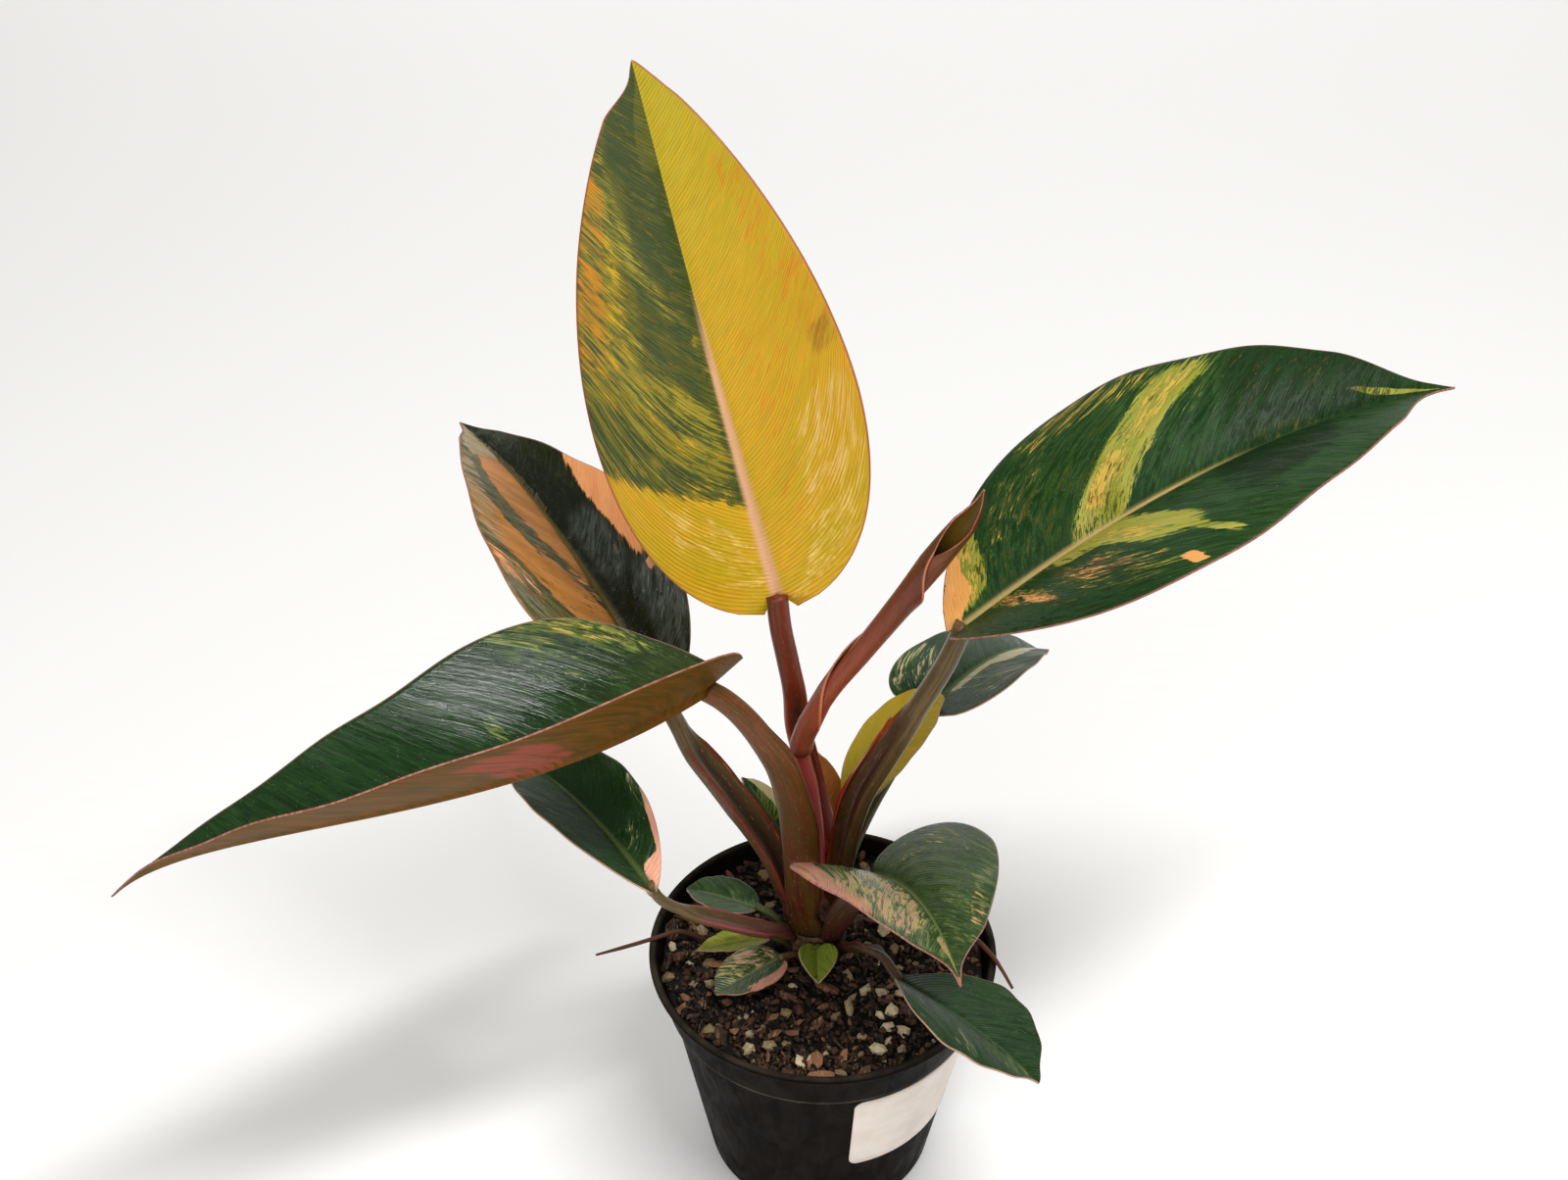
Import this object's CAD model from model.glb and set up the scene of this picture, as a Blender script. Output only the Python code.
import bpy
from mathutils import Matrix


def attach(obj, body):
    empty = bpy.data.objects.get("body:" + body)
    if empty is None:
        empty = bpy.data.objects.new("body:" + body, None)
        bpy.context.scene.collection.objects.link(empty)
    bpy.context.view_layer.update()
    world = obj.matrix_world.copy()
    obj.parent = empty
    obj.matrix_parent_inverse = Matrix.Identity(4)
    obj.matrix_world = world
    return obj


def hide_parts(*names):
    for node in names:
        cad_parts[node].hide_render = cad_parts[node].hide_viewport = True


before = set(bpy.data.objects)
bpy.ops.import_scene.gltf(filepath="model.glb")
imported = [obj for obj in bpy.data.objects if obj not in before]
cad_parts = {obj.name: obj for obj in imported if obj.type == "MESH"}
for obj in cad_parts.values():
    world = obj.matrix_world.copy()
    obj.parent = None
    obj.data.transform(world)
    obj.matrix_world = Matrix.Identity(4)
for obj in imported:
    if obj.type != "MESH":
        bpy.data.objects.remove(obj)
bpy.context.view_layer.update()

import math
import random

import bmesh
import bpy
import numpy as np
from mathutils import Matrix, Quaternion, Vector, noise

# Young philodendron in a nursery pot. Shapes are worked in millimetres and made metres at the end.
mm = 0.001
scene = bpy.context.scene
scene.view_settings.view_transform = "Standard"


# helpers: colours, nodes, pieces

# Keeps the colours readable in the settings, as sRGB, and gives the shader linear ones
def linear(hexText):
    parts = [int(hexText[i:i + 2], 16) / 255 for i in (1, 3, 5)]
    return tuple(c / 12.92 if c <= 0.04045 else ((c + 0.055) / 1.055) ** 2.4 for c in parts) + (1.0,)


# Adds a node with its settings and links, and gives its live output, or all of them by name where there are
# more. Its live inputs take, in turn, the socket of another node, a colour as text, or a plain value
def addNode(tree, kind, *values, **settings):
    node = tree.nodes.new("ShaderNode" + kind)
    for key, value in settings.items():
        setattr(node, key, value)
    for socket, value in zip([socket for socket in node.inputs if socket.enabled], values):
        if isinstance(value, bpy.types.NodeSocket):
            tree.links.new(value, socket)
        elif value is not None:
            socket.default_value = linear(value) if isinstance(value, str) else value
    outputs = {socket.name: socket for socket in node.outputs if socket.enabled}
    return outputs if len(outputs) > 1 else outputs.popitem()[1]


# Settings that many nodes share
smoothStep = dict(interpolation_type="SMOOTHSTEP")
multiplied = dict(operation="MULTIPLY")
inColour = dict(data_type="RGBA")


def startMaterial(name, roughness, specular=0.5, ior=1.5):
    material = bpy.data.materials.new(name)
    material.use_nodes = True
    tree = material.node_tree
    shader = tree.nodes["Principled BSDF"]
    shader.inputs["Roughness"].default_value = roughness
    shader.inputs["Specular IOR Level"].default_value = specular
    shader.inputs["IOR"].default_value = ior
    return material, tree, shader


def finishMaterial(tree, shader, colour, relief, strength, depth):
    tree.links.new(colour, shader.inputs["Base Color"])
    bump = addNode(tree, "Bump", strength, depth * mm, None, relief)
    tree.links.new(bump, shader.inputs["Normal"])


# Adds values to a start, each times its own share
def weigh(tree, total, *pairs):
    for value, share in pairs:
        total = addNode(tree, "Math", value, share, total, operation="MULTIPLY_ADD")
    return total


# A painted tone made uneven by a noise, so that its edge breaks up where it is cut off later
def breakUp(tree, painted, pattern, amount, middle=0.5):
    uneven = addNode(tree, "Math", pattern, middle, operation="SUBTRACT")
    return weigh(tree, painted, (uneven, amount))


# One tone laid over another where a pattern climbs from low to high, as far as the amount
def coat(tree, under, over, pattern, low, high, amount=1.0):
    share = addNode(tree, "MapRange", pattern, low, high, 0.0, amount, **smoothStep)
    return addNode(tree, "Mix", share, under, over, **inColour)


# Noise whose grains have the given sizes in millimetres along the three axes
def sizedNoise(tree, spot, sizes, detail=3.0, distortion=0.0, shift=0.0):
    scale = tuple(1 / size for size in sizes)
    moved = addNode(tree, "Mapping", spot, (shift,) * 3, None, scale)
    return addNode(tree, "TexNoise", moved, 1.0, detail, 0.6, None, distortion)["Fac"]


# The same on a piece's own grain: across the veins or fibres, along them, and through them
def grainNoise(tree, grain, across, along, depth=10.0, **settings):
    return sizedNoise(tree, grain, (along, across, depth), **settings)


# The red, green and blue parts of a tone that is painted on the mesh
def readTone(tree, name):
    colour = addNode(tree, "Attribute", attribute_name=name)["Color"]
    return list(addNode(tree, "SeparateColor", colour).values())


# Position in millimetres on a piece that stands where it belongs
def placeMm(tree):
    return addNode(tree, "VectorMath", addNode(tree, "TexCoord")["Object"], 1000.0, operation="SCALE")


def pieceName(node, ending):
    words = node.split("_")
    return words[0] + "".join(word.capitalize() for word in words[1:]) + ending


def meshObject(name, bm):
    bmesh.ops.scale(bm, vec=(mm, mm, mm), verts=bm.verts)
    mesh = bpy.data.meshes.new(name)
    bm.to_mesh(mesh)
    bm.free()
    thing = bpy.data.objects.new(name, mesh)
    scene.collection.objects.link(thing)
    return thing


def finishPiece(name, bm, materials, nodes, smooth=True, recalc=False):
    if recalc:
        bmesh.ops.recalc_face_normals(bm, faces=bm.faces)
    piece = meshObject(name, bm)
    mesh = piece.data
    mesh.polygons.foreach_set("use_smooth", [smooth] * len(mesh.polygons))
    for material in materials:
        mesh.materials.append(material)
    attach(piece, "root")
    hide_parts(*nodes)
    return piece


# Thickness for a sheet; where it has three materials, its back takes the second and its rim the third
def addWall(piece, thick, offset=-1, group="", thinShare=0.0):
    wall = piece.modifiers.new("wall", "SOLIDIFY")
    wall.thickness = thick * mm
    wall.offset = offset
    wall.vertex_group = group
    wall.thickness_vertex_group = thinShare
    if len(piece.data.materials) == 3:
        wall.material_offset = 1
        wall.material_offset_rim = 2


# A flat grid to bend into a sheet, and where each of its points lies in it, from -1 to 1
def startSheet(cols, rows):
    bm = bmesh.new()
    bmesh.ops.create_grid(bm, x_segments=cols, y_segments=rows, size=1.0)
    flat = np.array([v.co[:2] for v in bm.verts])
    return bm, flat[:, 0], flat[:, 1]


# Moves the points into place and paints the grain and the tones that the skins read
def bendSheet(bm, points, grain, merge=0.01, **tones):
    layer = bm.verts.layers.float_vector.new("grain")
    for v, point, along in zip(bm.verts, points, np.stack(grain, -1)):
        v.co = Vector(point)
        v[layer] = Vector(along)
    for name, parts in tones.items():
        layer = bm.verts.layers.float_color.new(name)
        for v, tone in zip(bm.verts, np.stack(parts, -1)):
            v[layer] = (*tone, 1)
    bmesh.ops.remove_doubles(bm, verts=bm.verts, dist=merge)


# leaf skins: living philodendron leaf, waxy and satin, patterned in streaks that run along its side veins

leafLook = dict(
    deepGreen="#24402a", freshGreen="#3d5a33", lime="#8f9440", gold="#cfa32a", orange="#d98f50",
    cream="#b9ac83", rib="#a79a6a", margin="#8c5a4a", stain="#7a5a20",
    roughness=0.36,
    uneven=0.22,        # how far the roughness wanders along the streaks
    sheen=0.4,
    relief=0.3,         # of the whole surface, then of each kind of mark in it
    streakRelief=0.4, blotRelief=0.4, fineRelief=0.5, veinRelief=1.0,
    tipTone=None,       # what the blade shades to beyond its middle
    contrast=2.2,       # how far the streaks break up the edge of a patch
    darkness=0.8,
    dust=0.45,          # pale specks of dried water and dust
    veinTone=0.05,      # how much the fine side veins show in the colour
    veinSpacing=1.15,   # of the fine parallel side veins, in mm
    streakWidth=1.7,    # of the variegation, across the veins, in mm
    streakLength=20.0,
    blotWidth=3.6)      # of its blotches, in mm


# Waxy leaf upper side: a satin cuticle over green tissue, with streaked sectors that lack chlorophyll
def leafSkin(name, seed, **look):
    use = dict(leafLook, **look)
    material, tree, shader = startMaterial(name, use["roughness"], use["sheen"], 1.45)
    grain = addNode(tree, "Attribute", attribute_name="grain")["Vector"]
    toneA, toneB, form = (readTone(tree, layer) for layer in ("toneA", "toneB", "form"))
    width, length, blotWidth = use["streakWidth"], use["streakLength"], use["blotWidth"]
    wide = grainNoise(tree, grain, width, length, detail=5, distortion=0.9, shift=seed)
    fine = grainNoise(tree, grain, 0.45, 6.0, shift=seed + 9)
    soft = grainNoise(tree, grain, 9.0, 30.0, detail=2, shift=seed + 4)
    blot = grainNoise(tree, grain, blotWidth, blotWidth * 2.2, detail=6, distortion=1.0, shift=seed + 14)
    other = grainNoise(tree, grain, width * 0.7, length * 0.5, detail=5, distortion=1.0, shift=seed + 31)
    streak = weigh(tree, 0.0, (blot, 0.4), (wide, 0.45), (fine, 0.25))
    otherStreak = weigh(tree, 0.0, (blot, 0.45), (other, 0.4), (fine, 0.25))
    colour = coat(tree, use["deepGreen"], use["freshGreen"], streak, 0.42, 0.72)
    for painted, key, pattern in ((toneA[0], "lime", streak), (toneA[1], "gold", otherStreak),
                                  (toneA[2], "orange", otherStreak), (toneB[0], "cream", otherStreak)):
        jagged = breakUp(tree, painted, pattern, use["contrast"], 0.55)
        shown = addNode(tree, "MapRange", painted, 0.02, 0.15, **smoothStep)
        tint = coat(tree, use[key], use.get(key + "Two", use[key]), soft, 0.35, 0.65)
        between = addNode(tree, "Mix", 0.55, colour, use.get(key + "Mid", use[key]), **inColour)
        if key == "gold" and use["tipTone"]:
            upward = weigh(tree, form[2], (soft, 0.5))
            tint = coat(tree, tint, use["tipTone"], upward, 0.6, 1.2, 0.7)
        for low, high, tone in ((0.37, 0.43, between), (0.51, 0.58, tint)):
            colour = coat(tree, colour, tone, jagged, low, high, shown)
    jagged = breakUp(tree, toneB[1], streak, 2.6, 0.55)
    shown = addNode(tree, "MapRange", toneB[1], 0.02, 0.15, 0.0, use["darkness"], **smoothStep)
    colour = coat(tree, colour, use.get("darkTone", use["deepGreen"]), jagged, 0.42, 0.58, shown)
    colour = coat(tree, colour, use["stain"], otherStreak, 0.42, 0.72, toneB[2])
    across = addNode(tree, "SeparateXYZ", grain)["Y"]
    waves = weigh(tree, 0.0, (across, 2 * math.pi / use["veinSpacing"]), (soft, 7.0))
    veins = addNode(tree, "Math", waves, operation="SINE")
    tone = addNode(tree, "MapRange", fine, 0.25, 0.75, 0.86, 1.1, **smoothStep)
    tone = weigh(tree, tone, (veins, use["veinTone"]))
    red = addNode(tree, "MapRange", blot, 0.3, 0.7, 0.93, 1.06, **smoothStep)
    blue = addNode(tree, "MapRange", soft, 0.3, 0.7, 0.85, 1.1, **smoothStep)
    red, blue = (addNode(tree, "Math", tone, part, **multiplied) for part in (red, blue))
    shade = addNode(tree, "CombineColor", red, tone, blue)
    colour = addNode(tree, "Mix", 1.0, colour, shade, blend_type="MULTIPLY", **inColour)
    ribs = addNode(tree, "MapRange", fine, 0.2, 0.5, 0.8, 1.0, **smoothStep)
    ribs = addNode(tree, "Math", form[0], ribs, **multiplied)
    colour = addNode(tree, "Mix", ribs, colour, use["rib"], **inColour)
    dust = grainNoise(tree, grain, 0.55, 0.55, detail=2, shift=seed + 23)
    colour = coat(tree, colour, "#b4b39c", dust, 0.68, 0.76, use["dust"])
    colour = coat(tree, colour, use["margin"], weigh(tree, form[1], (fine, 0.3)), 0.8, 1.05, 0.85)
    low, high = (share * use["veinRelief"] for share in (0.15, 0.6))
    ridge = addNode(tree, "MapRange", blot, 0.3, 0.7, low, high, **smoothStep)
    ridge = addNode(tree, "Math", veins, ridge, **multiplied)
    surface = weigh(tree, ridge, (fine, use["fineRelief"]), (wide, use["streakRelief"]),
                    (blot, use["blotRelief"]))
    finishMaterial(tree, shader, colour, surface, use["relief"], 0.3)
    low, high = use["roughness"] - 0.36 * use["uneven"], use["roughness"] + 0.64 * use["uneven"]
    uneven = addNode(tree, "MapRange", otherStreak, 0.45, 0.65, low, high, **smoothStep)
    tree.links.new(uneven, shader.inputs["Roughness"])
    return material


# Leaf underside: duller than the top, with the red pigment of the stalk showing through
def leafUnderside(name, seed, base, second, third):
    material, tree, shader = startMaterial(name, 0.46, 0.09, 1.42)
    grain = addNode(tree, "Attribute", attribute_name="grain")["Vector"]
    painted = readTone(tree, "toneB")[2]
    wide = grainNoise(tree, grain, 2.0, 18.0, detail=4, distortion=0.6, shift=seed)
    fine = grainNoise(tree, grain, 0.5, 6.0, shift=seed + 5)
    patch = grainNoise(tree, grain, 9.0, 14.0, distortion=0.5, shift=seed + 8)
    streak = weigh(tree, 0.0, (wide, 0.7), (fine, 0.4))
    colour = coat(tree, base, second, streak, 0.42, 0.68)
    shown = addNode(tree, "MapRange", painted, 0.02, 0.15, 0.0, 0.85, **smoothStep)
    colour = coat(tree, colour, third, breakUp(tree, painted, wide, 3.2), 0.36, 0.6, shown)
    colour = coat(tree, colour, "#3f3a16", patch, 0.5, 0.68, 0.55)
    ribs = addNode(tree, "Math", readTone(tree, "form")[0], 0.6, **multiplied)
    colour = addNode(tree, "Mix", ribs, colour, second, **inColour)
    colour = coat(tree, colour, "#94703c", fine, 0.6, 0.75, 0.4)
    finishMaterial(tree, shader, colour, streak, 0.3, 0.3)
    return material


# Thin cut-like leaf margin: dry, pinkish and slightly paler than the blade
def leafEdge(name, hexText):
    material, tree, shader = startMaterial(name, 0.55)
    grain = addNode(tree, "Attribute", attribute_name="grain")["Vector"]
    speckle = grainNoise(tree, grain, 1.2, 3.0, detail=2)
    colour = coat(tree, hexText, "#b98a78", speckle, 0.35, 0.65, 0.6)
    tree.links.new(colour, shader.inputs["Base Color"])
    return material


# blades: t runs from heel to tip, s from -1 at one margin over 0 at the midrib to 1 at the other

def outlineWidth(x, leaf, heel=0.003):
    back = leaf["lobe"] + heel
    swell, taper = leaf["swell"], leaf["taper"]
    widest = (swell - taper * back) / (swell + taper)
    top = (widest + back) ** swell * (1 - widest) ** taper
    return np.clip(x + back, 0, None) ** swell * np.clip(1 - x, 0, None) ** taper / top


# Directions along the midrib, to the side and up from the face, at each share of the blade's length
def bladeFrame(x, leaf):
    share = np.clip(x, 0, 1)
    tilt = np.radians(leaf["tilt"] - leaf["droop"] * share ** leaf["droopPower"])
    heading = np.radians(leaf["heading"] + leaf["sweep"] * share)
    roll = np.radians(leaf["roll"] + leaf["twist"] * share)[..., None]
    along = np.stack([np.cos(tilt) * np.cos(heading), np.cos(tilt) * np.sin(heading), np.sin(tilt)], -1)
    flat = np.stack([np.sin(heading), -np.cos(heading), np.zeros_like(heading)], -1)
    up = np.cross(flat, along)
    return along, flat * np.cos(roll) + up * np.sin(roll), up * np.cos(roll) - flat * np.sin(roll)


def bladePoints(leaf, t, s):
    count = 120
    steps = np.linspace(0, 1, count + 1)
    along, side, face = bladeFrame((steps[1:] + steps[:-1]) / 2, leaf)
    line = np.concatenate([[np.zeros(3)], np.cumsum(along * leaf["long"] / count, 0)])
    line = line + np.array(leaf["base"], float)
    a = np.abs(s)
    sign = np.where(s >= 0, 1.0, -1.0)
    pairs = (leaf[key] for key in ("drip", "heel", "fold", "curl"))
    drip, heel, fold, curl = (np.where(s >= 0, right, left) for left, right in pairs)
    veins = -leaf["lobe"] * (1 - t) ** 8 + 0.12 * np.sin(math.pi * t ** 0.75) * (1 - t) ** 0.3
    x = t + veins * a ** 1.3
    end = np.clip((t - leaf["dripFrom"]) / (1 - leaf["dripFrom"]) / 0.75, 0, 1)
    drawn = 1 - drip * end * end * (3 - 2 * end)
    u = a * outlineWidth(np.clip(t + veins, -leaf["lobe"], 1), leaf, heel)
    u = u * (1 + leaf["asym"] * sign) * drawn
    along, side, face = bladeFrame(x, leaf)
    foot = np.stack([np.interp(np.clip(x, 0, 1), steps, line[:, k]) for k in range(3)], -1)
    foot = foot + along * (np.minimum(x, 0) * leaf["long"])[..., None]
    fold, curl = np.radians(fold), np.radians(curl)
    curl = np.where(np.abs(curl) < 0.01, 0.01, curl)
    half = leaf["wide"] / 2
    out = half * (np.sin(fold + curl * u) - np.sin(fold)) / curl
    rise = half * (np.cos(fold) - np.cos(fold + curl * u)) / curl
    wave = np.sin(2 * math.pi * leaf["waves"] * t + 1.3 * sign) * np.sin(math.pi * t)
    rise = rise + leaf["wave"] * a ** 2 * wave
    reach = half * u
    slant = (0.8 * reach + 0.6 * reach ** 2 / half) * np.clip(0.3 + 1.6 * x, 0.15, 1)
    vein = x * leaf["long"] - slant
    quilt = leaf["quilt"] * np.sin(2 * math.pi * vein / leaf["quiltStep"] + 0.8 * sign)
    quilt = quilt * np.minimum(a * 3, 1) * (1 - a ** 3)
    rise = rise + quilt * np.sin(math.pi * np.clip(t, 0, 1)) ** 0.5
    rise = rise - 0.55 * (1 - 0.7 * t) * np.exp(-(reach / 1.5) ** 2)
    return foot + side * (sign * out)[..., None] + face * rise[..., None], reach, vein


# Each patch of a tone: middle s and t, half sizes in s and t, strength, and how far t shifts from midrib to
# margin; one with its middle off the midrib stays on its own half
def paintTones(leaf, t, s):
    tones = {}
    for tone in ("lime", "gold", "orange", "cream", "dark", "blush"):
        tones[tone] = np.zeros_like(t)
        for s0, t0, ds, dt, amount, *lean in leaf.get(tone, ()):
            shift = (lean[0] if lean else 0.0) * (np.abs(s) - abs(s0))
            far = (np.abs((s - s0) / ds) ** 4 + np.abs((t - t0 - shift) / dt) ** 4) ** 0.25
            weight = np.clip((1.3 - far) / 0.5, 0, 1)
            weight = weight * weight * (3 - 2 * weight) * (1 if s0 == 0 else s * s0 > 0)
            tones[tone] = np.maximum(tones[tone], amount * weight)
    return tones


ribThick = 1.75  # blade and midrib together, in mm


def makeBlade(name, spec, top, under, edge):
    leaf = dict(bladeDefaults, **spec)
    bm, x, y = startSheet(leaf["cols"], leaf["rows"])
    s = np.sign(x) * np.abs(x) ** 1.25
    t = 1 - (1 - np.clip((y + 1) / 2, 0, 1)) ** 1.1
    points, reach, vein = bladePoints(leaf, t, s)
    tones = paintTones(leaf, t, s)
    rib = np.exp(-(reach / (leaf["ribWide"] * (1 - t) ** 1.3 + 0.25)) ** 4)
    rib = rib * np.clip((leaf["ribEnd"] - t) * 6, 0, 1)
    fromEdge = leaf["wide"] / 2 * (1 - np.abs(s)) * outlineWidth(t, leaf)
    margin = np.clip(1 - fromEdge / leaf["marginWide"], 0, 1)
    weights = bm.verts.layers.deform.verify()
    for v, ridge in zip(bm.verts, np.exp(-(reach / 1.3) ** 2) * (1 - t) ** 0.8):
        v[weights][0] = float(ridge)
    grain = (reach * 1.4, vein + np.where(s >= 0, 0, 260), np.full_like(s, leaf["wide"] * 0.37))
    bendSheet(bm, points, grain, 0.02, toneA=(tones["lime"], tones["gold"], tones["orange"]),
              toneB=(tones["cream"], tones["dark"], tones["blush"]), form=(rib, margin, t))
    piece = finishPiece(pieceName(name, "Blade"), bm, [top, under, edge], [name])
    piece.vertex_groups.new(name="rib")
    addWall(piece, ribThick, group="rib", thinShare=leaf["thick"] / ribThick)


# leaf settings: place and form as in the solids, then the patches of each tone. Angles are in degrees and
# lengths in mm; where a setting has two values, the first is for the left half

bladeDefaults = dict(
    droop=0, droopPower=1.3, sweep=0, roll=0, twist=0, fold=(15, 15), curl=(-10, -10),
    swell=0.6, taper=0.9,                           # how the outline opens at the heel and closes again
    lobe=0.05, asym=0, heel=(0.003, 0.003), drip=(0.3, 0.3), dripFrom=0.84,
    wave=0.6, waves=4, quilt=0.12, quiltStep=8.0,   # waves of the margin, and swellings between side veins
    ribWide=1.5, ribEnd=0.9, marginWide=1.1, thick=0.55, rows=90, cols=40)
tinyLeaf = dict(marginWide=0.4, wave=0.2, rows=60, cols=36, ribWide=0.5, quilt=0.05, quiltStep=3)

topLeaf = dict(
    base=(-14, 19.5, 202), heading=138, tilt=69.5, droop=1.5, sweep=-9, roll=36.5, long=151, wide=76,
    fold=(3, 14), curl=(-27, 9), swell=0.5, taper=0.83, lobe=0.03, rows=190, cols=80, ribWide=1.7,
    ribEnd=0.6, quilt=0.16, quiltStep=9, drip=(0.6, 0.1), dripFrom=0.9, marginWide=1.8,
    lime=((-0.5, 0.07, 0.7, 0.115, 1.4, 0.03), (-0.14, 0.9, 0.18, 0.1, 0.62), (-0.5, 0.55, 0.7, 0.55, 0.42),
        (-0.85, 0.58, 0.4, 0.24, 0.56, -0.1), (-0.4, 0.34, 0.36, 0.09, 0.56, 0.1)),
    gold=((0.5, 0.5, 0.7, 0.75, 1.6), (-0.5, 0.06, 0.8, 0.14, 0.88, 0.03), (-0.9, 0.55, 0.34, 0.16, 0.46),
        (-0.5, 0.4, 0.6, 0.34, 0.3)),
    orange=((0.88, 0.5, 0.26, 0.3, 0.34), (0.5, 0.3, 0.3, 0.2, 0.28), (-0.95, 0.6, 0.2, 0.2, 0.4)),
    cream=((0.7, 0.16, 0.3, 0.16, 0.34, 0.1), (-0.4, 0.1, 0.3, 0.08, 0.32, 0.1)),
    dark=((-0.4, 0.9, 0.8, 0.25, 0.62, 0.42), (-0.35, 0.5, 0.3, 0.07, 0.46, 0.3)),
    blush=((0.88, 0.385, 0.1, 0.025, 1.0),))
rightLeaf = dict(
    base=(36.5, -8, 211.5), heading=9, tilt=40, droop=44, sweep=12.5, roll=-5, twist=-3.5, long=151,
    wide=79, fold=(35, 33), curl=(-40, -38), swell=0.76, taper=1.15, lobe=0.035, rows=190, cols=80,
    ribWide=1.05, ribEnd=0.6, quilt=0.14, quiltStep=9.5, drip=(0.5, 0.5), dripFrom=0.76,
    lime=((-0.5, 0.385, 0.46, 0.052, 0.77, 0.24), (-0.22, 0.33, 0.25, 0.06, 0.62, 0.2),
        (-0.5, 0.2, 0.45, 0.13, 0.36, 0.15), (-0.7, 0.62, 0.3, 0.16, 0.3),
        (-0.3, 0.88, 0.12, 0.07, 0.85, -0.3), (-0.08, 0.66, 0.09, 0.06, 0.4, -0.2),
        (-0.6, 0.045, 0.4, 0.035, 0.9), (0.3, 0.315, 0.32, 0.052, 0.8, 0.12),
        (0.72, 0.37, 0.18, 0.012, 0.7, 0.1), (0.12, 0.25, 0.14, 0.06, 0.9), (0.4, 0.13, 0.4, 0.09, 0.36)),
    gold=((-0.5, 0.385, 0.42, 0.03, 0.5, 0.24), (-0.3, 0.32, 0.15, 0.02, 0.7, 0.2),
        (-0.6, 0.16, 0.3, 0.06, 0.3, 0.1), (-0.9, 0.3, 0.1, 0.14, 0.4), (-0.6, 0.035, 0.4, 0.03, 0.6),
        (0.3, 0.3, 0.2, 0.02, 0.5, 0.12), (0.3, 0.1, 0.25, 0.03, 0.5, 0.1),
        (0.6, 0.22, 0.3, 0.06, 0.36, 0.1)),
    orange=((-0.62, 0.015, 0.34, 0.03, 1.0), (0.52, 0.215, 0.16, 0.035, 0.46, 0.1),
        (0.42, 0.11, 0.22, 0.015, 0.6, 0.1), (0.9, 0.3, 0.06, 0.012, 0.85)),
    dark=((0.3, 0.6, 0.4, 0.12, 0.56, -0.1), (-0.5, 0.72, 0.6, 0.18, 0.5), (-0.4, 0.2, 0.6, 0.16, 0.4),
        (0.6, 0.14, 0.5, 0.12, 0.44)))
leftLeaf = dict(
    base=(-33.5, -9.5, 191), heading=231, tilt=2, droop=53, droopPower=3.5, sweep=-68, roll=-4, twist=7,
    long=180, wide=72.5, fold=(52, 17.5), curl=(12, 25), swell=0.64, taper=1.67, asym=0.13, rows=200,
    cols=80, ribWide=1.8, quilt=0.08, quiltStep=10, drip=(0.1, 0.3), dripFrom=0.6, heel=(0.022, 0.003),
    lime=((0.85, 0.12, 0.2, 0.1, 0.46, 0.1), (0.5, 0.12, 0.5, 0.1, 0.28), (0.4, 0.31, 0.12, 0.012, 0.5),
        (0.15, 0.3, 0.08, 0.2, 0.3)),
    gold=((0.9, 0.1, 0.12, 0.08, 0.42, 0.1),),
    cream=((-0.6, 0.12, 0.3, 0.1, 0.3),),
    blush=((-0.45, 0.31, 0.4, 0.05, 0.66),))
backLeftLeaf = dict(
    base=(-49.5, 24.5, 162.5), heading=127, tilt=37, droop=30.5, sweep=3.5, roll=-6, twist=-9, long=117,
    wide=58, fold=(18.5, 16.5), curl=(-16, 8), swell=0.79, taper=1.02, asym=-0.05, rows=150, cols=70,
    ribWide=1.6, quilt=0.16, drip=(0.4, 0.4), dripFrom=0.88, marginWide=1.5,
    lime=((-0.55, 0.5, 0.6, 0.5, 0.62),),
    gold=((-0.3, 0.56, 0.16, 0.06, 0.5, 0.5), (-0.85, 0.34, 0.16, 0.05, 0.46, 0.4),
        (-0.12, 0.3, 0.1, 0.16, 0.4), (0.88, 0.5, 0.26, 0.14, 1.05, 0.3), (0.72, 0.265, 0.08, 0.015, 0.9),
        (0.5, 0.36, 0.1, 0.02, 0.45)),
    orange=((-0.28, 0.68, 0.32, 0.22, 0.95, 0.5), (-0.62, 0.4, 0.42, 0.11, 0.74, 0.6),
        (-0.2, 0.2, 0.26, 0.14, 0.8, 0.5)),
    cream=((-0.4, 0.9, 0.5, 0.1, 0.7), (-0.9, 0.62, 0.16, 0.2, 0.5), (0.05, 0.74, 0.06, 0.16, 0.6)),
    dark=((-0.4, 0.46, 0.45, 0.05, 0.34, 0.7), (0.25, 0.5, 0.3, 0.4, 0.8)),
    blush=((0.35, 0.42, 0.2, 0.1, 0.8), (0.65, 0.15, 0.25, 0.14, 0.9)))
lowLeftLeaf = dict(
    base=(-51.5, -15.5, 123.5), heading=129, tilt=19.5, droop=26, sweep=4.5, roll=-3, twist=4, long=61,
    wide=35.5, fold=(24, 23), curl=(-1, -14), marginWide=0.6, swell=0.78, taper=0.5, wave=0.3, rows=110,
    cols=56, ribWide=1.0, quilt=0.1, quiltStep=5,
    orange=((0.95, 0.18, 0.12, 0.13, 1.2, 0.6), (0.6, 0.04, 0.4, 0.05, 1.2)),
    cream=((0.9, 0.36, 0.1, 0.1, 0.42), (0.3, 0.25, 0.2, 0.08, 0.3)),
    dark=((0.4, 0.6, 0.4, 0.3, 0.6),))
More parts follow.
